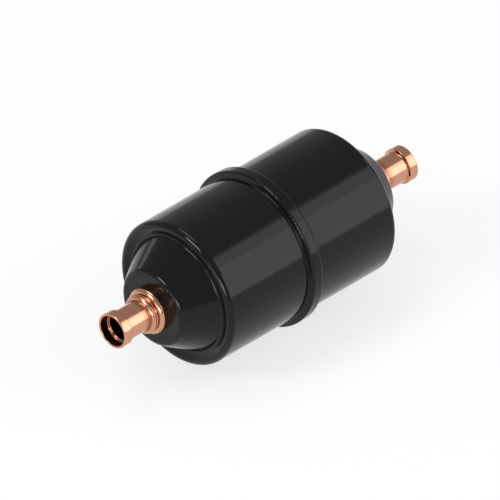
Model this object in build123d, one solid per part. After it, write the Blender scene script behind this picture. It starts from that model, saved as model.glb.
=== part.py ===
from build123d import *
import os
from math import atan, degrees, radians, sin

# Straight, hermetic, solid-core filter drier for a refrigerant liquid line.
# Units are millimetres. The flow axis is X: the inlet faces -X, the outlet faces +X, and +Z is up.
# The origin is on the flow axis, midway between the two socket mouths.
# Outlines are drawn as (x, radius) on the outlet half and turned about X.

# ---- driving dimensions ----

# shell halves: deep-drawn steel cups, joined by one weld round the middle
BODY_RADIUS = 38.1          # 3 in body
SHELL_WALL = 1.5
SHOULDER_X = 57.9           # where the straight wall and the dished end would meet
SHOULDER_BEND = 2.9
DISH_RADIUS = 30.9          # foot of the cone, where the dished end turns outwards again
DISH_X = 55.0
DISH_BEND = 1.2
NOSE_X = 72.6               # flat nose that carries the collar
NOSE_RADIUS = 19.7          # where the cone and the flat nose would meet
NOSE_BEND = 2.6
NOSE_HOLE_RADIUS = 9.6

# the raised band round the middle, formed by the belled rims of the two cups
BAND_RADIUS = 41.2
BAND_FOOT_X = 3.95          # where the straight wall and the band's flank would meet
BAND_CREST_X = 2.95         # where the flank and the band's crest would meet
BAND_FOOT_BEND = 0.6
BAND_CREST_BEND = 1.0
WELD_HALF_WIDTH = 1.2
WELD_HALF_ROOT = 0.3
SEAM_RING_HALF_WIDTH = 1.3
SEAM_RING_THICKNESS = 1.6

# connections: copper tube with a swaged socket for a 5/8 in line, brazed into a turned collar
TUBE_RADIUS = 7.94
TUBE_WALL = 1.15
TUBE_INNER_END_X = 69.6
SOCKET_BORE_RADIUS = 8.0
SOCKET_RADIUS = 9.25
SOCKET_STEP_X = (94.0, 94.6)        # foot and top of the step outside
SOCKET_STEP_BENDS = [0.5, 0.4]
SOCKET_STOP_X = (94.5, 94.9)        # foot and top of the step inside, the stop for the line
SOCKET_STOP_BENDS = [0.3, 0.3]
MOUTH_X = 99.5
MOUTH_ROUNDING = 0.4

COLLAR_RADIUS = 12.0
COLLAR_FLANGE = 4.8         # thickness of the collar's flange
COLLAR_EDGE_ROUNDING = 2.0
COLLAR_NECK_RADIUS = 9.0
COLLAR_COVE = 0.5
BEAD_X = 79.6
BEAD_RADIUS = 10.1
BEAD_ROUND = 1.5
BRAZE_HEIGHT = 0.6
BRAZE_LENGTH = 0.8
BRAZE_HOLLOW = 0.37         # where the fillet's hollow stands, as a share of its two legs

# the cartridge, stacked from the outlet end towards the inlet
SEAT_CLEARANCE = 0.02
PLATE_RADIUS = 36.2
PLATE_THICKNESS = 1.2
PLATE_BEND = 1.8
PLATE_LIP = 4.0
PLATE_HOLE_RADIUS = 1.9     # one hole on the axis and rings of 6, 12, 18 and 24 about it
PLATE_HOLE_PITCH = 6.8
PLATE_HOLE_RINGS = 4
FIRST_RING_HOLES = 6
SCREEN_RADIUS = 34.3
SCREEN_RIM = 1.6
SCREEN_THICKNESS = 0.5
SCREEN_PITCH = 6.0
SCREEN_MESH = 4.8
MAT_THICKNESS = 5.0
MAT_RADIUS = 34.3
CORE_LENGTH = 84.0
CORE_RADIUS = 33.5
CORE_DRAFT = 0.8            # how much narrower the core is at the inlet end
CORE_END_ROUNDING = 3.0
CORE_HOLE_RADIUS = 10.5
CORE_HOLE_END_RADIUS = 7.5
CORE_HOLE_DEPTH = 62.0
GASKET_LENGTH = 4.5
PAD_THICKNESS = 3.0
PAD_RADIUS = 33.0

# conical compression spring between the inlet nose and the pressure plate
SPRING_WIRE_RADIUS = 1.1
SPRING_SMALL_RADIUS = 14.0
SPRING_LARGE_RADIUS = 25.5
SPRING_TURNS = 4
SPRING_GRIND_DEPTH = 0.5    # distance from the ground end to the middle of the wire

# ---- places worked out from them ----

shell_inner_radius = BODY_RADIUS - SHELL_WALL
nose_inner_x = NOSE_X - SHELL_WALL
band_inner_radius = BAND_RADIUS - SHELL_WALL
tube_inner_radius = TUBE_RADIUS - TUBE_WALL
seam_ring_inner_radius = band_inner_radius - SEAM_RING_THICKNESS
collar_face_x = NOSE_X + COLLAR_FLANGE
bead_centre_radius = BEAD_RADIUS - BEAD_ROUND
collar_end_x = BEAD_X + BEAD_ROUND


def dish_seat_x():
    """How far out the inside of the dished end stands, where it turns into the cone."""
    cone = Vector(NOSE_X - DISH_X, NOSE_RADIUS - DISH_RADIUS).normalized()
    dish = Vector(SHOULDER_X - DISH_X, BODY_RADIUS - DISH_RADIUS).normalized()
    half_opening = radians(cone.get_angle(dish) / 2)
    bend_centre = Vector(DISH_X, DISH_RADIUS) + (cone + dish).normalized() * (DISH_BEND / sin(half_opening))
    return bend_centre.X - DISH_BEND - SHELL_WALL


outlet_plate_face_x = dish_seat_x() - SEAT_CLEARANCE
outlet_screen_x = outlet_plate_face_x - PLATE_THICKNESS - SCREEN_THICKNESS
core_outlet_x = outlet_screen_x - MAT_THICKNESS
core_inlet_x = core_outlet_x - CORE_LENGTH
pad_x = core_inlet_x - PAD_THICKNESS
inlet_screen_x = pad_x - SCREEN_THICKNESS
plate_inlet_face_x = inlet_screen_x - PLATE_THICKNESS


# ---- helpers ----

def turned(outline):
    """A closed outline of (x, radius), turned once round the flow axis."""
    return revolve(Plane.XZ * make_face(outline), Axis.X)


def sheet(corners, bends, thickness):
    """Turned sheet metal: its skin follows the corners and its thickness lies to the right of them."""
    points = [Vector(*corner) for corner in corners]
    headings = [(after - before).normalized() for before, after in zip(points, points[1:])]
    to_right = [Vector(heading.Y, -heading.X) for heading in headings]
    mitres = [(a + b) * (1 / (1 + a.dot(b))) for a, b in zip(to_right, to_right[1:])]
    steps = [to_right[0], *mitres, to_right[-1]]
    inner_points = [point + step * thickness for point, step in zip(points, steps)]
    turns_left = [a.cross(b).Z > 0 for a, b in zip(headings, headings[1:])]
    inner_bends = [
        bend + thickness if left else max(bend - thickness, 0)
        for bend, left in zip(bends, turns_left)
    ]
    skin = FilletPolyline(*points, radius=bends)
    lining = FilletPolyline(*inner_points, radius=inner_bends)
    return turned(skin + lining + Line(skin @ 0, lining @ 0) + Line(skin @ 1, lining @ 1))


def inlet_side(part):
    """The same piece at the other end."""
    return mirror(part, Plane.YZ)


# ---- shell ----

def girth_weld():
    """Weld that fills the V between the belled rims, dressed flush with the band's crest."""
    section = Polyline(
        (-WELD_HALF_ROOT, band_inner_radius),
        (WELD_HALF_ROOT, band_inner_radius),
        (WELD_HALF_WIDTH, BAND_RADIUS),
        (-WELD_HALF_WIDTH, BAND_RADIUS),
        close=True,
    )
    return turned(section)


def shell_half(weld):
    """Drawn cup of the outlet half: belled rim, straight wall, shoulder, dished end, cone and nose."""
    corners = [
        (WELD_HALF_ROOT, BAND_RADIUS),
        (BAND_CREST_X, BAND_RADIUS),
        (BAND_FOOT_X, BODY_RADIUS),
        (SHOULDER_X, BODY_RADIUS),
        (DISH_X, DISH_RADIUS),
        (NOSE_X, NOSE_RADIUS),
        (NOSE_X, NOSE_HOLE_RADIUS),
    ]
    bends = [BAND_CREST_BEND, BAND_FOOT_BEND, SHOULDER_BEND, DISH_BEND, NOSE_BEND]
    return sheet(corners, bends, SHELL_WALL) - weld


def seam_ring():
    """Hoop inside the band that lines the two cups up and backs the weld."""
    section = Polyline(
        (-SEAM_RING_HALF_WIDTH, seam_ring_inner_radius),
        (SEAM_RING_HALF_WIDTH, seam_ring_inner_radius),
        (SEAM_RING_HALF_WIDTH, band_inner_radius),
        (-SEAM_RING_HALF_WIDTH, band_inner_radius),
        close=True,
    )
    return turned(section)


# ---- connections ----

def collar():
    """Turned bush: a spigot in the nose hole, a round flange, a coved neck and a rounded bead."""
    neck_end_x = BEAD_X - (BEAD_ROUND**2 - (COLLAR_NECK_RADIUS - bead_centre_radius)**2) ** 0.5
    flange = FilletPolyline(
        (NOSE_X, COLLAR_RADIUS),
        (collar_face_x, COLLAR_RADIUS),
        (collar_face_x, COLLAR_NECK_RADIUS),
        (neck_end_x, COLLAR_NECK_RADIUS),
        radius=[COLLAR_EDGE_ROUNDING, COLLAR_COVE],
    )
    bead = ThreePointArc((neck_end_x, COLLAR_NECK_RADIUS), (BEAD_X, BEAD_RADIUS), (collar_end_x, bead_centre_radius))
    bore_and_spigot = Polyline(
        (collar_end_x, bead_centre_radius),
        (collar_end_x, TUBE_RADIUS),
        (nose_inner_x, TUBE_RADIUS),
        (nose_inner_x, NOSE_HOLE_RADIUS),
        (NOSE_X, NOSE_HOLE_RADIUS),
        (NOSE_X, COLLAR_RADIUS),
    )
    return turned(flange + bead + bore_and_spigot)


def stub():
    """Copper tube, swaged out at its end into the socket that takes the line."""
    outside = FilletPolyline(
        (TUBE_INNER_END_X, TUBE_RADIUS),
        (SOCKET_STEP_X[0], TUBE_RADIUS),
        (SOCKET_STEP_X[1], SOCKET_RADIUS),
        (MOUTH_X, SOCKET_RADIUS),
        radius=SOCKET_STEP_BENDS,
    )
    inside = FilletPolyline(
        (TUBE_INNER_END_X, tube_inner_radius),
        (SOCKET_STOP_X[0], tube_inner_radius),
        (SOCKET_STOP_X[1], SOCKET_BORE_RADIUS),
        (MOUTH_X, SOCKET_BORE_RADIUS),
        radius=SOCKET_STOP_BENDS,
    )
    ends = Line(outside @ 0, inside @ 0) + Line(outside @ 1, inside @ 1)
    tube = turned(outside + inside + ends)
    mouth_edges = tube.edges().group_by(Axis.X)[-1]
    return fillet(mouth_edges, MOUTH_ROUNDING)


def braze_ring():
    """Hollow fillet of filler metal between the collar's end and the tube."""
    legs = Polyline(
        (collar_end_x, TUBE_RADIUS + BRAZE_HEIGHT),
        (collar_end_x, TUBE_RADIUS),
        (collar_end_x + BRAZE_LENGTH, TUBE_RADIUS),
    )
    hollow = (collar_end_x + BRAZE_HOLLOW * BRAZE_LENGTH, TUBE_RADIUS + BRAZE_HOLLOW * BRAZE_HEIGHT)
    return turned(legs + ThreePointArc(legs @ 1, hollow, legs @ 0))


# ---- cartridge ----

def disc(x_start, thickness, radius):
    """A flat round piece square to the flow axis."""
    return Location((x_start, 0, 0), (0, 90, 0)) * extrude(Circle(radius), thickness)


def hole_rings(x_middle):
    """Cutters for one hole on the axis and rings of holes about it."""
    cutter = Cylinder(PLATE_HOLE_RADIUS, 2 * PLATE_LIP)
    across = Location((x_middle, 0, 0), (0, 90, 0))
    cutters = [across * cutter]
    for ring in range(1, PLATE_HOLE_RINGS + 1):
        cutters += [across * place * cutter for place in PolarLocations(ring * PLATE_HOLE_PITCH, FIRST_RING_HOLES * ring)]
    return cutters


def perforated_plate(face_x, lip_direction):
    """Pressed disc with rings of holes; its rim is turned over into a lip."""
    lip_x = face_x + lip_direction * PLATE_LIP
    corners = [(face_x, 0), (face_x, PLATE_RADIUS), (lip_x, PLATE_RADIUS)]
    skin = FilletPolyline(*corners, radius=PLATE_BEND)
    inwards = Side.LEFT if lip_direction < 0 else Side.RIGHT
    plate = turned(offset(skin, amount=PLATE_THICKNESS, side=inwards))
    return plate - hole_rings(face_x)


def screen(x_start):
    """Woven strainer disc: a plain rim round a lattice of square meshes."""
    mesh = Location((x_start, 0, 0), (0, 90, 0)) * extrude(Rectangle(SCREEN_MESH, SCREEN_MESH), SCREEN_MESH, both=True)
    reach = SCREEN_RADIUS - SCREEN_RIM - SCREEN_PITCH / 2
    steps = range(-int(reach / SCREEN_PITCH), int(reach / SCREEN_PITCH) + 1)
    meshes = [
        Location((0, row * SCREEN_PITCH, column * SCREEN_PITCH)) * mesh
        for row in steps
        for column in steps
        if (row**2 + column**2) ** 0.5 * SCREEN_PITCH < reach
    ]
    return disc(x_start, SCREEN_THICKNESS, SCREEN_RADIUS) - meshes


def desiccant_core():
    """Moulded block: slightly tapered, rounded towards the inlet, with a blind hole from the outlet end."""
    inlet_radius = CORE_RADIUS - CORE_DRAFT
    outline = FilletPolyline(
        (core_inlet_x, 0),
        (core_inlet_x, inlet_radius),
        (core_outlet_x, CORE_RADIUS),
        (core_outlet_x, CORE_HOLE_RADIUS),
        (core_outlet_x - CORE_HOLE_DEPTH, CORE_HOLE_END_RADIUS),
        (core_outlet_x - CORE_HOLE_DEPTH, 0),
        radius=[CORE_END_ROUNDING, 0, 0, CORE_END_ROUNDING],
    )
    return turned(outline + Line(outline @ 1, outline @ 0))


def core_gasket():
    """Felt ring that seals the core's outlet end against the shell, so that all flow goes through the core."""
    ring = Circle(shell_inner_radius) - Circle(CORE_RADIUS)
    return Location((core_outlet_x - GASKET_LENGTH, 0, 0), (0, 90, 0)) * extrude(ring, GASKET_LENGTH)


def compression_spring():
    """Conical spring with ground ends, small end on the inlet nose and large end on the pressure plate."""
    length = plate_inlet_face_x + nose_inner_x
    wire_length = length - 2 * SPRING_GRIND_DEPTH
    flare = degrees(atan((SPRING_LARGE_RADIUS - SPRING_SMALL_RADIUS) / wire_length))
    coil = Helix(
        pitch=wire_length / SPRING_TURNS,
        height=wire_length,
        radius=SPRING_SMALL_RADIUS,
        center=(-nose_inner_x + SPRING_GRIND_DEPTH, 0, 0),
        direction=(1, 0, 0),
        cone_angle=flare,
    )
    wire = sweep(Plane(coil @ 0, z_dir=coil % 0) * Circle(SPRING_WIRE_RADIUS), path=coil, is_frenet=True)
    return wire & disc(-nose_inner_x, length, shell_inner_radius)


def main():
    weld = girth_weld()
    outlet_shell = shell_half(weld)
    outlet_collar = collar()
    outlet_stub = stub()
    outlet_braze = braze_ring()

    pieces = {
        "inlet_shell": inlet_side(outlet_shell),
        "outlet_shell": outlet_shell,
        "girth_weld": weld,
        "seam_ring": seam_ring(),
        "inlet_collar": inlet_side(outlet_collar),
        "outlet_collar": outlet_collar,
        "inlet_stub": inlet_side(outlet_stub),
        "outlet_stub": outlet_stub,
        "inlet_braze_ring": inlet_side(outlet_braze),
        "outlet_braze_ring": outlet_braze,
        "compression_spring": compression_spring(),
        "pressure_plate": perforated_plate(plate_inlet_face_x, 1),
        "inlet_screen": screen(inlet_screen_x),
        "inlet_felt_pad": disc(pad_x, PAD_THICKNESS, PAD_RADIUS),
        "desiccant_core": desiccant_core(),
        "core_gasket": core_gasket(),
        "filter_mat": disc(core_outlet_x, MAT_THICKNESS, MAT_RADIUS),
        "outlet_screen": screen(outlet_screen_x),
        "outlet_plate": perforated_plate(outlet_plate_face_x, -1),
    }
    os.makedirs("parts", exist_ok=True)
    for name, piece in pieces.items():
        export_step(piece, f"parts/{name}.step")


main()
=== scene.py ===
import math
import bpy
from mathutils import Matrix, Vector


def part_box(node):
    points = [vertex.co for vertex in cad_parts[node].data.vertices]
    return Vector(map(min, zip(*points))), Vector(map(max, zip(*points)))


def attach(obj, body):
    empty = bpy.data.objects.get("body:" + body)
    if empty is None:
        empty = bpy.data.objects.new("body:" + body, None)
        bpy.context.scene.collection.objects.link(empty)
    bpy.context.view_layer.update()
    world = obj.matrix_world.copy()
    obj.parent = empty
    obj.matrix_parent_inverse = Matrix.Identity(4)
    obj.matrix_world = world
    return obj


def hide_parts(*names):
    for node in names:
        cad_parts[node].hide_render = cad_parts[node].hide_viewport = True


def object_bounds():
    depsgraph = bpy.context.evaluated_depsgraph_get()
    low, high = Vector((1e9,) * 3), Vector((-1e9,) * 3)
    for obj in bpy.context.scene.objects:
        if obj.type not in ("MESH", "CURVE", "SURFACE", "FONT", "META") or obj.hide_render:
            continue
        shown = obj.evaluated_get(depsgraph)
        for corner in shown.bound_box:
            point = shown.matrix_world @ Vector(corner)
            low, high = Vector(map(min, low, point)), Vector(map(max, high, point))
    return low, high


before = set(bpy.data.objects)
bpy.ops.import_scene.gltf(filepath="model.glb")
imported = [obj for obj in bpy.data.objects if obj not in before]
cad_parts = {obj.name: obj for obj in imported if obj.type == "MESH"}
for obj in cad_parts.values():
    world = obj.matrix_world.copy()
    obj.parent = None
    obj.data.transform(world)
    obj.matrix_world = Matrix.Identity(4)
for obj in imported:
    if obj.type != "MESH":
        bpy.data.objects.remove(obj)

# %% [markdown]
# # A filter drier, finished and lit
# A filter drier sits in the liquid line of a cooling plant. It is a steel can with two copper sockets,
# and it holds a block that soaks up water and a stack of strainers. Every solid has come in from the
# CAD model in metres, with the flow axis along X. This file gives each piece its finish, weaves the two
# wire screens, and sets up the floor, the lights and the camera. Sizes below are in millimetres unless
# a name or a comment says otherwise.

MM = 0.001
cad_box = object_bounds()
scene = bpy.context.scene
print("CAD box in mm:", [[round(value / MM, 1) for value in corner] for corner in cad_box])


# %% [markdown]
# ## Helpers for materials
# A colour picked on a screen is an sRGB hex value, but a shader counts light, so the value is turned to
# linear first: the sRGB curve is a short straight toe and then a power of 2.4. The node editor's clicks
# become one function: it adds a node, sets its options, and gives each input either a number or
# another node's output. A texture's scale counts repeats per metre, so it comes from a real spacing.

# %% A hex colour as light
def linear(hex_colour):
    values = [int(hex_colour[start:start + 2], 16) / 255 for start in (1, 3, 5)]
    return (*[v / 12.92 if v <= 0.04045 else ((v + 0.055) / 1.055) ** 2.4 for v in values], 1.0)


print("mid grey as light:", round(linear("#808080")[0], 3))


# %% Add a node with its settings and links
def add_node(tree, kind, inputs=None, **settings):
    node = tree.nodes.new(kind)
    for name, value in settings.items():
        setattr(node, name, value)
    for name, value in (inputs or {}).items():
        if isinstance(value, bpy.types.NodeSocket):
            tree.links.new(value, node.inputs[name])
        else:
            node.inputs[name].default_value = value
    return node


# %% Start a finish from its colour and its gloss
def start_finish(name, colour, roughness, metallic=0.0):
    finish = bpy.data.materials.new(name)
    finish.use_nodes = True
    surface = finish.node_tree.nodes["Principled BSDF"]
    surface.inputs["Base Color"].default_value = linear(colour)
    surface.inputs["Roughness"].default_value = roughness
    surface.inputs["Metallic"].default_value = metallic
    print("finish:", name, colour, "roughness", roughness)
    return finish, finish.node_tree, surface


# %% A texture's scale from a real spacing
def scale_for(spacing):
    return 1 / (spacing * MM)


print("marks 3 mm apart need a scale of", round(scale_for(3.0)))


# %% Tiny hills and hollows, with their height
def add_relief(tree, surface, height_map, height):
    relief = add_node(
        tree, "ShaderNodeBump", {"Height": height_map, "Distance": height * MM, "Strength": 1.0},
    )
    tree.links.new(relief.outputs["Normal"], surface.inputs["Normal"])


# %% [markdown]
# ## Where a point lies on a turned piece
# Most pieces here were turned or pressed round the flow axis, so their marks follow two numbers: the
# distance along the axis and the distance from it. Object coordinates give the first one directly, and
# the length of the other two gives the second. Marks drawn from these stay on the piece when it turns,
# which a pattern drawn from the view wouldn't do. The two ends are alike, so the distance along the
# axis is counted from the middle to either side.

# %% A point of the piece, in its own coordinates
def surface_point(tree):
    return add_node(tree, "ShaderNodeTexCoord").outputs["Object"]


# %% Distance along the axis, and distance from it
def turned_coordinates(tree, point):
    parts = add_node(tree, "ShaderNodeSeparateXYZ", {0: point}).outputs
    across = add_node(tree, "ShaderNodeCombineXYZ", {"Y": parts["Y"], "Z": parts["Z"]})
    radius = add_node(tree, "ShaderNodeVectorMath", {0: across.outputs[0]}, operation="LENGTH")
    along = add_node(tree, "ShaderNodeMath", {0: parts["X"]}, operation="ABSOLUTE")
    return along.outputs[0], radius.outputs["Value"]


# %% A soft step from 0 to 1 between two places
def soft_step(tree, value, start, end):
    step = add_node(
        tree, "ShaderNodeMapRange",
        {"Value": value, "From Min": start * MM, "From Max": end * MM}, interpolation_type="SMOOTHSTEP",
    )
    return step.outputs["Result"]


# %% [markdown]
# ## Black enamel on the shell
# The can is sprayed and then baked, and the baking lets the enamel flow out to a hard, even gloss. It
# keeps a trace of orange peel, soft swells about 3 mm apart and only a few microns high, and its gloss
# drifts a little over patches as wide as a fingertip. A noise texture with features of that size, read
# as relief, bends the reflections just enough to show that the can was painted. Nearly all that the
# eye sees on such a black is reflected light.

# %% Stoving enamel: near-black, glossy, with a trace of orange peel
PEEL_SPACING = 3.0
PEEL_HEIGHT = 0.004
HAZE_SPACING = 14.0
ENAMEL_SHINE = 0.22
ENAMEL_ROUGHNESS = 0.12
ROUGHNESS_DRIFT = 0.02

black_enamel, tree, surface = start_finish("black_stoving_enamel", "#0e0e0f", ENAMEL_ROUGHNESS)
surface.inputs["Specular IOR Level"].default_value = ENAMEL_SHINE
point = surface_point(tree)
peel = add_node(
    tree, "ShaderNodeTexNoise", {"Vector": point, "Scale": scale_for(PEEL_SPACING), "Detail": 1.0},
)
add_relief(tree, surface, peel.outputs["Fac"], PEEL_HEIGHT)
haze = add_node(
    tree, "ShaderNodeTexNoise", {"Vector": point, "Scale": scale_for(HAZE_SPACING), "Detail": 3.0},
)
gloss = add_node(
    tree, "ShaderNodeMapRange",
    {
        "Value": haze.outputs["Fac"],
        "To Min": ENAMEL_ROUGHNESS - ROUGHNESS_DRIFT, "To Max": ENAMEL_ROUGHNESS + ROUGHNESS_DRIFT,
    },
)
tree.links.new(gloss.outputs["Result"], surface.inputs["Roughness"])

# %% [markdown]
# ## Copper: drawn tube, turned collar
# Both are bare copper, but they were shaped in different ways. The tube was pulled through a die, which
# leaves faint lines along it, while the collar was turned, which leaves faint rings round it. One noise
# texture does both jobs: stretched along the axis it gives lines, and read from the two turned
# distances it gives rings. Real marks are 0.1 mm apart or less. They are drawn 0.4 mm apart here,
# because finer ones wouldn't show. Heat from the brazing reddens the tube beside the joint.

# %% Drawn copper: warm and bright, with lines along the tube
COPPER = "#cc9579"
TUBE_ROUGHNESS = 0.13
DRAW_LINE_SPACING = 0.4
DRAW_LINE_HEIGHT = 0.0015
LINE_STRETCH = 0.02

drawn_copper, tree, surface = start_finish("drawn_copper_tube", COPPER, TUBE_ROUGHNESS, metallic=1.0)
point = surface_point(tree)
along, radius = turned_coordinates(tree, point)
stretched = add_node(tree, "ShaderNodeMapping", {"Vector": point, "Scale": (LINE_STRETCH, 1.0, 1.0)})
lines = add_node(
    tree, "ShaderNodeTexNoise",
    {"Vector": stretched.outputs[0], "Scale": scale_for(DRAW_LINE_SPACING), "Detail": 2.0},
)
add_relief(tree, surface, lines.outputs["Fac"], DRAW_LINE_HEIGHT)

# %% Reddened by the brazing heat
HEATED_COPPER = "#b06e54"
BRAZE_X = 81.5
HEAT_REACH = 4.0

heated = add_node(
    tree, "ShaderNodeMix",
    {
        "Factor": soft_step(tree, along, BRAZE_X + HEAT_REACH, BRAZE_X),
        "A": linear(COPPER), "B": linear(HEATED_COPPER),
    },
    data_type="RGBA",
)
print("reddened up to", BRAZE_X + HEAT_REACH, "mm from the middle")

# %% [markdown]
# ## Inside the tube
# The bore shows through the open mouth. It is darker and browner than the skin: partly because no one
# polishes it and it has been through the heat, and partly as painted shade that keeps the inside of the
# tube dark. Only the stop, the small shoulder that the line is pushed against, is kept out of that painted
# shade and keeps the skin's colour and gloss, so it shows as a bright ring inside. Skin and bore belong to
# one solid, so the shader tells them apart by place: whatever lies nearer the axis than the middle of the
# wall is bore. The tube widens at the socket, and the middle of the wall moves out with it.

# %% Dull bore darkened further by painted shade, with the stop left bright
SHADED_DULL_COPPER = "#5a3527"
# The bore's colour is dull, heated copper made darker still as painted shade inside the tube.
BORE_ROUGHNESS = 0.35
WIDENING_X = (93.9, 94.75)
WALL_MIDDLE = (7.4, 8.1)
WALL_BLUR = 0.05
STOP_APPEARS_X = (94.3, 94.5)
STOP_FADES_X = (95.3, 95.1)

wall_middle = add_node(
    tree, "ShaderNodeMapRange",
    {
        "Value": along, "From Min": WIDENING_X[0] * MM, "From Max": WIDENING_X[1] * MM,
        "To Min": WALL_MIDDLE[0] * MM, "To Max": WALL_MIDDLE[1] * MM,
    },
)
beyond_wall = add_node(tree, "ShaderNodeMath", {0: radius, 1: wall_middle.outputs[0]}, operation="SUBTRACT")
skin = soft_step(tree, beyond_wall.outputs[0], -WALL_BLUR, WALL_BLUR)
# The stop is kept out of the painted shade, so it shows as a bright ring inside the tube.
stop = add_node(
    tree, "ShaderNodeMath",
    {0: soft_step(tree, along, *STOP_APPEARS_X), 1: soft_step(tree, along, *STOP_FADES_X)},
    operation="MULTIPLY",
)
bright = add_node(tree, "ShaderNodeMath", {0: skin, 1: stop.outputs[0]}, operation="MAXIMUM").outputs[0]
# Skin and stop keep the copper colour; the rest of the bore takes the painted shade colour.
tube_colour = add_node(
    tree, "ShaderNodeMix",
    {"Factor": bright, "A": linear(SHADED_DULL_COPPER), "B": heated.outputs["Result"]}, data_type="RGBA",
)
tree.links.new(tube_colour.outputs["Result"], surface.inputs["Base Color"])
tube_gloss = add_node(
    tree, "ShaderNodeMapRange", {"Value": bright, "To Min": BORE_ROUGHNESS, "To Max": TUBE_ROUGHNESS},
)
tree.links.new(tube_gloss.outputs["Result"], surface.inputs["Roughness"])
print("bright stop from", STOP_APPEARS_X[0], "to", STOP_FADES_X[0], "mm")

# %% Turned copper: the same metal, with rings round the collar
COLLAR_ROUGHNESS = 0.15
TURNING_SPACING = 0.4
TURNING_HEIGHT = 0.002

turned_copper, tree, surface = start_finish("turned_copper", COPPER, COLLAR_ROUGHNESS, metallic=1.0)
along, radius = turned_coordinates(tree, surface_point(tree))
cut_path = add_node(tree, "ShaderNodeCombineXYZ", {"X": along, "Y": radius})
rings = add_node(
    tree, "ShaderNodeTexNoise",
    {"Vector": cut_path.outputs[0], "Scale": scale_for(TURNING_SPACING), "Detail": 2.0},
)
add_relief(tree, surface, rings.outputs["Fac"], TURNING_HEIGHT)

# %% [markdown]
# ## Braze filler
# The filler metal was drawn by heat into the gap between collar and tube, and froze as a small hollow
# fillet. It is browner than copper and not as bright, because it set in air and was never worked. Low
# swells about a millimetre apart keep its highlight from looking machined.

# %% Brazing filler: brown, satin, slightly lumpy
SWELL_SPACING = 1.0
SWELL_HEIGHT = 0.05

braze_filler, tree, surface = start_finish("brazing_filler", "#94664c", 0.35, metallic=1.0)
swells = add_node(
    tree, "ShaderNodeTexNoise",
    {"Vector": surface_point(tree), "Scale": scale_for(SWELL_SPACING), "Detail": 2.0},
)
add_relief(tree, surface, swells.outputs["Fac"], SWELL_HEIGHT)

# %% [markdown]
# ## Steel inside the can
# The two perforated plates are pressed from zinc-plated sheet, a pale and cloudy satin. The hoop behind
# the weld is rolled strip, darker and duller. The spring is hard-drawn wire, so smooth that each coil
# carries a bright line, and the screens are stainless wire, pale and clean. They share one recipe,
# cloudy roughness over a grey metal, with the size of the clouds changed to suit.

# %% Steel with clouds of a given size
CLOUD_HEIGHT = 0.01
GLOSSIER_BY = 0.08
DULLER_BY = 0.1


def cloudy_steel(name, colour, roughness, cloud_size):
    finish, tree, surface = start_finish(name, colour, roughness, metallic=1.0)
    clouds = add_node(
        tree, "ShaderNodeTexNoise",
        {"Vector": surface_point(tree), "Scale": scale_for(cloud_size), "Detail": 4.0},
    )
    satin = add_node(
        tree, "ShaderNodeMapRange",
        {
            "Value": clouds.outputs["Fac"],
            "To Min": roughness - GLOSSIER_BY, "To Max": roughness + DULLER_BY,
        },
    )
    tree.links.new(satin.outputs["Result"], surface.inputs["Roughness"])
    add_relief(tree, surface, clouds.outputs["Fac"], CLOUD_HEIGHT)
    return finish


# %% Zinc-plated sheet, rolled hoop, spring wire and stainless weaving wire
zinc_plated_sheet = cloudy_steel("zinc_plated_pressed_steel", "#b6b9bc", 0.34, cloud_size=6.0)
rolled_steel = cloudy_steel("rolled_mild_steel", "#8e8f92", 0.42, cloud_size=2.0)
spring_wire = cloudy_steel("hard_drawn_spring_wire", "#9b9ea2", 0.3, cloud_size=1.0)
stainless_wire = cloudy_steel("woven_stainless_wire", "#b3b3b0", 0.3, cloud_size=3.0)

# %% [markdown]
# ## Felt and fibre
# The pad and the ring that seals the core are pressed wool felt, and the mat after the core is needled
# polyester, whiter and more open. Both are matt tangles of fibres. A noise texture that is itself
# pushed about by noise looks like such a tangle, and its spacing is the gap between fibre bundles.

# %% Tangled fibres, matt, with a given spacing
FIBRE_ROUGHNESS = 0.95
FIBRE_SHINE = 0.2
FIBRE_HEIGHT = 0.3
TANGLE = 3.0


def fibre_finish(name, colour, shade, spacing):
    finish, tree, surface = start_finish(name, colour, FIBRE_ROUGHNESS)
    surface.inputs["Specular IOR Level"].default_value = FIBRE_SHINE
    fibres = add_node(
        tree, "ShaderNodeTexNoise",
        {
            "Vector": surface_point(tree), "Scale": scale_for(spacing),
            "Detail": 4.0, "Distortion": TANGLE,
        },
    )
    mottled = add_node(
        tree, "ShaderNodeMix",
        {"Factor": fibres.outputs["Fac"], "A": linear(shade), "B": linear(colour)}, data_type="RGBA",
    )
    tree.links.new(mottled.outputs["Result"], surface.inputs["Base Color"])
    add_relief(tree, surface, fibres.outputs["Fac"], FIBRE_HEIGHT)
    return finish


# %% Wool felt and needled polyester
wool_felt = fibre_finish("pressed_wool_felt", "#cfc9bb", "#a79f8e", spacing=1.2)
polyester_mat = fibre_finish("needled_polyester_mat", "#ecebe6", "#c6c5bf", spacing=2.0)

# %% [markdown]
# ## The moulded desiccant block
# The core is made of beads of molecular sieve, pressed with a binder and baked, so its face is matt and
# grainy like a coarse biscuit. A Voronoi texture gives cells with a bead's size, 1.6 mm: the distance
# to each cell's middle makes the beads stand out, and each cell's own shade varies the tone.

# %% Bonded molecular sieve: matt sandy grains
BEAD_SIZE = 1.6
BEAD_HEIGHT = 0.5
DARK_BEAD = "#b3a388"
PALE_BEAD = "#cdbfa5"
BLOCK_SHINE = 0.25

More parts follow.
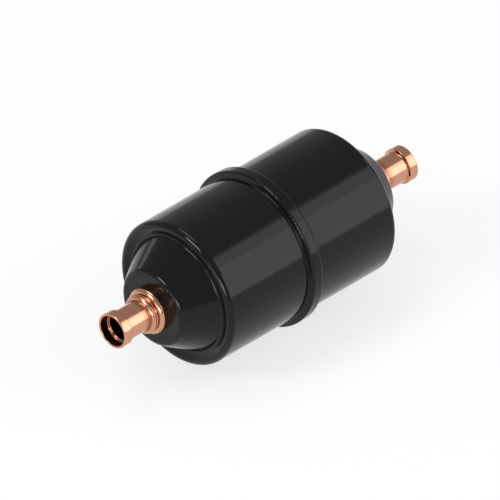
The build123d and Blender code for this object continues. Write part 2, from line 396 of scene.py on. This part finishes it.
desiccant_block, tree, surface = start_finish("bonded_molecular_sieve", "#c0b095", 0.92)
surface.inputs["Specular IOR Level"].default_value = BLOCK_SHINE
beads = add_node(
    tree, "ShaderNodeTexVoronoi", {"Vector": surface_point(tree), "Scale": scale_for(BEAD_SIZE)},
)
bead_shade = add_node(tree, "ShaderNodeSeparateColor", {"Color": beads.outputs["Color"]})
grains = add_node(
    tree, "ShaderNodeMix",
    {"Factor": bead_shade.outputs[0], "A": linear(DARK_BEAD), "B": linear(PALE_BEAD)}, data_type="RGBA",
)
tree.links.new(grains.outputs["Result"], surface.inputs["Base Color"])
roundness = add_node(tree, "ShaderNodeMath", {0: 1.0, 1: beads.outputs["Distance"]}, operation="SUBTRACT")
add_relief(tree, surface, roundness.outputs[0], BEAD_HEIGHT)

# %% [markdown]
# ## Giving every solid its finish
# A CAD solid whose shape is right stays as it is and only needs a material in its slot. A short table
# keeps the choice of finish for each piece in one place, where it is easy to check.

# %% Piece by piece
finishes = {
    "inlet_shell": black_enamel,
    "outlet_shell": black_enamel,
    "girth_weld": black_enamel,
    "seam_ring": rolled_steel,
    "inlet_collar": turned_copper,
    "outlet_collar": turned_copper,
    "inlet_stub": drawn_copper,
    "outlet_stub": drawn_copper,
    "inlet_braze_ring": braze_filler,
    "outlet_braze_ring": braze_filler,
    "compression_spring": spring_wire,
    "pressure_plate": zinc_plated_sheet,
    "inlet_felt_pad": wool_felt,
    "desiccant_core": desiccant_block,
    "core_gasket": wool_felt,
    "filter_mat": polyester_mat,
    "outlet_plate": zinc_plated_sheet,
}
for name, finish in finishes.items():
    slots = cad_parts[name].data.materials
    slots.clear()
    slots.append(finish)
print(len(finishes), "solids finished")

# %% [markdown]
# ## Weaving the strainer screens
# Each screen is plain-woven wire with its edge folded into a flat rim. Every wire goes over one
# neighbour and under the next. That is a rule, so Geometry Nodes can weave it: straight wires are laid
# out in a row, each long enough to end inside the rim, and the same row turned by 90 degrees crosses
# it. One height, cos(y) times cos(z), lifts the first row wherever it lowers the second, so they
# interlace. Real strainer cloth has a wire every 0.25 mm. Here it is one every 1.5 mm, so that the
# weave shows and the mesh stays light.

# %% Named inputs of the weaving tree
weave = bpy.data.node_groups.new("woven_screen", "GeometryNodeTree")
weave_inputs = {}
for name, kind in [
    ("Middle X", "NodeSocketFloat"),
    ("Mesh Radius", "NodeSocketFloat"),
    ("Pitch", "NodeSocketFloat"),
    ("Wire Radius", "NodeSocketFloat"),
    ("Rim Width", "NodeSocketFloat"),
    ("Rim Thickness", "NodeSocketFloat"),
    ("Finish", "NodeSocketMaterial"),
]:
    weave_inputs[name] = weave.interface.new_socket(name, in_out="INPUT", socket_type=kind)
weave.interface.new_socket("Screen", in_out="OUTPUT", socket_type="NodeSocketGeometry")
given = weave.nodes.new("NodeGroupInput").outputs
print("inputs:", list(weave_inputs))


# %% Small sums in the tree, and the place of a point
def calculate(operation, first, second=0.0):
    return add_node(weave, "ShaderNodeMath", {0: first, 1: second}, operation=operation).outputs[0]


position = add_node(weave, "GeometryNodeInputPosition")
place = add_node(weave, "ShaderNodeSeparateXYZ", {0: position.outputs[0]}).outputs
print("a point's place:", [part.name for part in place])

# %% A row of points across the disc, one for each wire
half_count = calculate("FLOOR", calculate("DIVIDE", given["Mesh Radius"], given["Pitch"]))
row_start = calculate("MULTIPLY", calculate("MULTIPLY", half_count, given["Pitch"]), -1.0)
wire_count = calculate("ADD", calculate("MULTIPLY", half_count, 2.0), 1.0)
row = add_node(
    weave, "GeometryNodeMeshLine",
    {
        "Count": wire_count,
        "Start Location": add_node(weave, "ShaderNodeCombineXYZ", {"Z": row_start}).outputs[0],
        "Offset": add_node(weave, "ShaderNodeCombineXYZ", {"Z": given["Pitch"]}).outputs[0],
    },
)
print(len(weave.nodes), "nodes for the row")

# %% Straight wires on it, each long enough to end inside the rim
POINTS_ALONG_WIRE = 132
GRIP_SHARE = 0.4

wire = add_node(weave, "GeometryNodeCurvePrimitiveLine", {"Start": (0, -1, 0), "End": (0, 1, 0)})
even_wire = add_node(
    weave, "GeometryNodeResampleCurve", {"Curve": wire.outputs[0], "Count": POINTS_ALONG_WIRE},
)
grip = calculate("MULTIPLY", given["Rim Width"], GRIP_SHARE)
reach = calculate("ADD", given["Mesh Radius"], grip)
squares = calculate(
    "SUBTRACT", calculate("MULTIPLY", reach, reach), calculate("MULTIPLY", place["Z"], place["Z"]),
)
half_chord = calculate("SQRT", calculate("MAXIMUM", squares, 0.0))
wire_scale = add_node(weave, "ShaderNodeCombineXYZ", {"X": 1.0, "Y": half_chord, "Z": 1.0})
laid = add_node(
    weave, "GeometryNodeInstanceOnPoints",
    {"Points": row.outputs[0], "Instance": even_wire.outputs[0], "Scale": wire_scale.outputs[0]},
)
first_row = add_node(weave, "GeometryNodeRealizeInstances", {0: laid.outputs[0]}).outputs[0]
second_row = add_node(
    weave, "GeometryNodeTransform", {"Geometry": first_row, "Rotation": (math.radians(90), 0, 0)},
).outputs[0]
print(len(weave.nodes), "nodes with both rows")


# %% The height that interlaces them
def wave(distance):
    angle = calculate("DIVIDE", calculate("MULTIPLY", distance, math.pi), given["Pitch"])
    return calculate("COSINE", angle)


crossing = calculate("MULTIPLY", wave(place["Y"]), wave(place["Z"]))
lift = calculate("MULTIPLY", crossing, given["Wire Radius"])
drop = calculate("MULTIPLY", lift, -1.0)
woven = add_node(weave, "GeometryNodeJoinGeometry")
for straight_row, bend in [(second_row, drop), (first_row, lift)]:
    offset = add_node(weave, "ShaderNodeCombineXYZ", {"X": bend})
    bent = add_node(
        weave, "GeometryNodeSetPosition", {"Geometry": straight_row, "Offset": offset.outputs[0]},
    )
    weave.links.new(bent.outputs[0], woven.inputs[0])
print(len(weave.nodes), "nodes with the weave")

# %% Round wire and flat rim
WIRE_SIDES = 6
RIM_SIDES = 160

wire_section = add_node(
    weave, "GeometryNodeCurvePrimitiveCircle", {"Resolution": WIRE_SIDES, "Radius": given["Wire Radius"]},
)
wires = add_node(
    weave, "GeometryNodeCurveToMesh",
    {"Curve": woven.outputs[0], "Profile Curve": wire_section.outputs[0], "Fill Caps": True},
)
rim_radius = calculate("ADD", given["Mesh Radius"], calculate("MULTIPLY", given["Rim Width"], 0.5))
rim_path = add_node(
    weave, "GeometryNodeCurvePrimitiveCircle", {"Resolution": RIM_SIDES, "Radius": rim_radius},
)
rim_section = add_node(
    weave, "GeometryNodeCurvePrimitiveQuadrilateral",
    {"Width": given["Rim Width"], "Height": given["Rim Thickness"]},
)
rim = add_node(
    weave, "GeometryNodeCurveToMesh",
    {"Curve": rim_path.outputs[0], "Profile Curve": rim_section.outputs[0]},
)
upright_rim = add_node(
    weave, "GeometryNodeTransform", {"Geometry": rim.outputs[0], "Rotation": (0, math.radians(90), 0)},
)
print(len(weave.nodes), "nodes with wire and rim")

# %% Joined, put in place, made real and given its metal
disc = add_node(weave, "GeometryNodeJoinGeometry", {0: upright_rim.outputs[0]})
weave.links.new(wires.outputs[0], disc.inputs[0])
middle = add_node(weave, "ShaderNodeCombineXYZ", {"X": given["Middle X"]})
placed = add_node(
    weave, "GeometryNodeTransform", {"Geometry": disc.outputs[0], "Translation": middle.outputs[0]},
)
whole = add_node(weave, "GeometryNodeRealizeInstances", {0: placed.outputs[0]})
finished = add_node(
    weave, "GeometryNodeSetMaterial", {"Geometry": whole.outputs[0], "Material": given["Finish"]},
)
add_node(weave, "NodeGroupOutput", {0: finished.outputs[0]})
print(len(weave.nodes), "nodes in the finished tree")

# %% [markdown]
# ## The woven screens take the place of two solids
# Each screen is woven to the size of the solid that stands for it, so it sits just where the drier
# holds it. Two wires cross within the rim's thickness, which makes four wire radii, and a divisor of
# 4.4 leaves a little air. The woven mesh is then a plain one that rides on the body.

# %% Weave one screen in the place of its solid
RIM_WIDTH = 1.6
WIRE_PITCH = 1.5
RADII_IN_THICKNESS = 4.4


def weave_screen(node_name):
    low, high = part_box(node_name)
    thickness = high.x - low.x
    sizes = {
        "Middle X": (low.x + high.x) / 2,
        "Mesh Radius": high.z - RIM_WIDTH * MM,
        "Pitch": WIRE_PITCH * MM,
        "Wire Radius": thickness / RADII_IN_THICKNESS,
        "Rim Width": RIM_WIDTH * MM,
        "Rim Thickness": thickness,
        "Finish": stainless_wire,
    }
    loom = bpy.data.objects.new("loom", bpy.data.meshes.new("loom"))
    scene.collection.objects.link(loom)
    weaving = loom.modifiers.new("weave", "NODES")
    weaving.node_group = weave
    for name, value in sizes.items():
        weaving[weave_inputs[name].identifier] = value
    evaluated = loom.evaluated_get(bpy.context.evaluated_depsgraph_get())
    mesh = bpy.data.meshes.new_from_object(evaluated)
    bpy.data.objects.remove(loom)
    screen = bpy.data.objects.new(f"woven_{node_name}", mesh)
    scene.collection.objects.link(screen)
    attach(screen, "root")
    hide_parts(node_name)
    triangles = sum(len(face.vertices) - 2 for face in mesh.polygons)
    print(screen.name, triangles, "triangles, at x =", round(sizes["Middle X"] / MM, 2), "mm")


# %% Both screens
for node_name in ("inlet_screen", "outlet_screen"):
    weave_screen(node_name)

# %% [markdown]
# ## The floor
# The drier lies on a white table. A white floor that is lit like everything else comes out grey, so
# part of what the camera sees of it is plain white glow, through Light Path's Is Camera Ray. Glossy and
# transmission rays get the same mix, so that the copper mirrors the floor that the camera shows. The
# rest is the lit floor, which keeps the soft shadow under the can.

# %% White table, part glow and part lit
GLOW_SHARE = 0.72

table_white, tree, surface = start_finish("matt_white_board", "#f8f8f8", 0.9)
light_path = add_node(tree, "ShaderNodeLightPath").outputs
seen = add_node(
    tree, "ShaderNodeMath", {0: light_path["Is Camera Ray"], 1: light_path["Is Glossy Ray"]},
    operation="MAXIMUM",
)
seen_through = add_node(
    tree, "ShaderNodeMath", {0: seen.outputs[0], 1: light_path["Is Transmission Ray"]},
    operation="MAXIMUM",
)
share = add_node(tree, "ShaderNodeMath", {0: seen_through.outputs[0], 1: GLOW_SHARE}, operation="MULTIPLY")
glow = add_node(tree, "ShaderNodeEmission", {"Color": linear("#ffffff"), "Strength": 1.0})
table_look = add_node(
    tree, "ShaderNodeMixShader", {0: share.outputs[0], 1: surface.outputs[0], 2: glow.outputs[0]},
)
tree.links.new(table_look.outputs[0], tree.nodes["Material Output"].inputs["Surface"])

# %% The board itself, 4 m from the middle to each edge
FLOOR_HALF = 4.0

floor_height = cad_box[0][2]
corners = [
    (side * FLOOR_HALF, end * FLOOR_HALF, floor_height)
    for side, end in [(-1, -1), (1, -1), (1, 1), (-1, 1)]
]
floor_mesh = bpy.data.meshes.new("floor")
floor_mesh.from_pydata(corners, [], [(0, 1, 2, 3)])
floor_mesh.materials.append(table_white)
floor = bpy.data.objects.new("floor", floor_mesh)
scene.collection.objects.link(floor)
print("floor at z =", round(floor_height / MM, 2), "mm")

# %% [markdown]
# ## Light
# Gloss black shows its lamps and little else, so the lamps are placed by their reflections. Two wide
# boxes at the side draw the long pale band along the can, and one overhead lights the table and the
# upper edges. Two at the left and a low strip in front draw thin lines on the bends of the dished end
# and of the collar, and a narrow strip behind draws the light line up the cone. The world is an even
# grey, which keeps the black from going flat. Each lamp's power comes from its area, so that a larger
# lamp isn't a brighter one.

# %% The even grey all round
WORLD_LEVEL = 0.45

scene.view_settings.view_transform = "Standard"
world = bpy.data.worlds.new("studio")
scene.world = world
world.use_nodes = True
background = world.node_tree.nodes["Background"]
background.inputs["Color"].default_value = linear("#ffffff")
background.inputs["Strength"].default_value = WORLD_LEVEL
print("world level:", WORLD_LEVEL)

# %% A box lamp whose face looks as bright as its level, with its sizes in metres
LAMP_DISTANCE = 2.0


def soft_box(name, direction, width, height, level):
    lamp_data = bpy.data.lights.new(name, "AREA")
    lamp_data.shape = "RECTANGLE"
    lamp_data.size = width
    lamp_data.size_y = height
    lamp_data.energy = level * math.pi * width * height
    lamp = bpy.data.objects.new(name, lamp_data)
    scene.collection.objects.link(lamp)
    towards = Vector(direction).normalized()
    lamp.location = towards * LAMP_DISTANCE
    lamp.rotation_euler = towards.to_track_quat("Z", "Y").to_euler()
    print(name, "power", round(lamp_data.energy, 2), "W")


# %% The lamps
soft_box("side_box", (0.61, -0.73, 0.31), width=1.7, height=1.3, level=2.25)
soft_box("upper_side_box", (0.616, -0.416, 0.669), width=1.6, height=0.42, level=1.75)
soft_box("top_box", (0.08, 0.30, 0.95), width=1.0, height=1.0, level=2.4)
soft_box("left_box", (-0.765, 0.18, 0.60), width=0.7, height=0.6, level=12.0)
soft_box("low_left_box", (-0.79, -0.58, 0.16), width=0.8, height=0.5, level=8.0)
soft_box("front_strip", (-0.95, -0.25, 0.11), width=1.2, height=0.3, level=4.5)
soft_box("back_strip", (-0.01, 0.966, 0.257), width=0.12, height=0.8, level=1.5)

# %% [markdown]
# ## Camera
# The view is a parallel one, from the inlet end and above, in which all three axes are foreshortened
# alike. An orthographic camera on the direction (-1, -1, 1) gives it. Its scale is the width of the
# view in metres, chosen so that the can fills the middle of the frame.

# %% Orthographic camera, with its distances in metres
CAMERA_AZIMUTH = math.radians(-45)
CAMERA_ELEVATION = math.radians(35.264)
CAMERA_DISTANCE = 3.0
VIEW_WIDTH = 0.24053
VIEW_DEPTH = 20
FRAME_PIXELS = 500
PIXELS_RIGHT = -8.4
PIXELS_UP = -3.1

level_reach = math.cos(CAMERA_ELEVATION)
towards_camera = Vector((
    math.sin(CAMERA_AZIMUTH) * level_reach,
    -math.cos(CAMERA_AZIMUTH) * level_reach,
    math.sin(CAMERA_ELEVATION),
))
camera_data = bpy.data.cameras.new("camera")
camera_data.type = "ORTHO"
camera_data.ortho_scale = VIEW_WIDTH
camera_data.clip_end = VIEW_DEPTH
camera = bpy.data.objects.new("camera", camera_data)
scene.collection.objects.link(camera)
camera.rotation_euler = towards_camera.to_track_quat("Z", "Y").to_euler()
turn = camera.rotation_euler.to_matrix()
right = turn @ Vector((1, 0, 0))
up = turn @ Vector((0, 1, 0))
framing = (right * PIXELS_RIGHT + up * PIXELS_UP) * (VIEW_WIDTH / FRAME_PIXELS)
camera.location = towards_camera * CAMERA_DISTANCE + framing
scene.camera = camera
print("camera at", [round(value, 3) for value in camera.location])
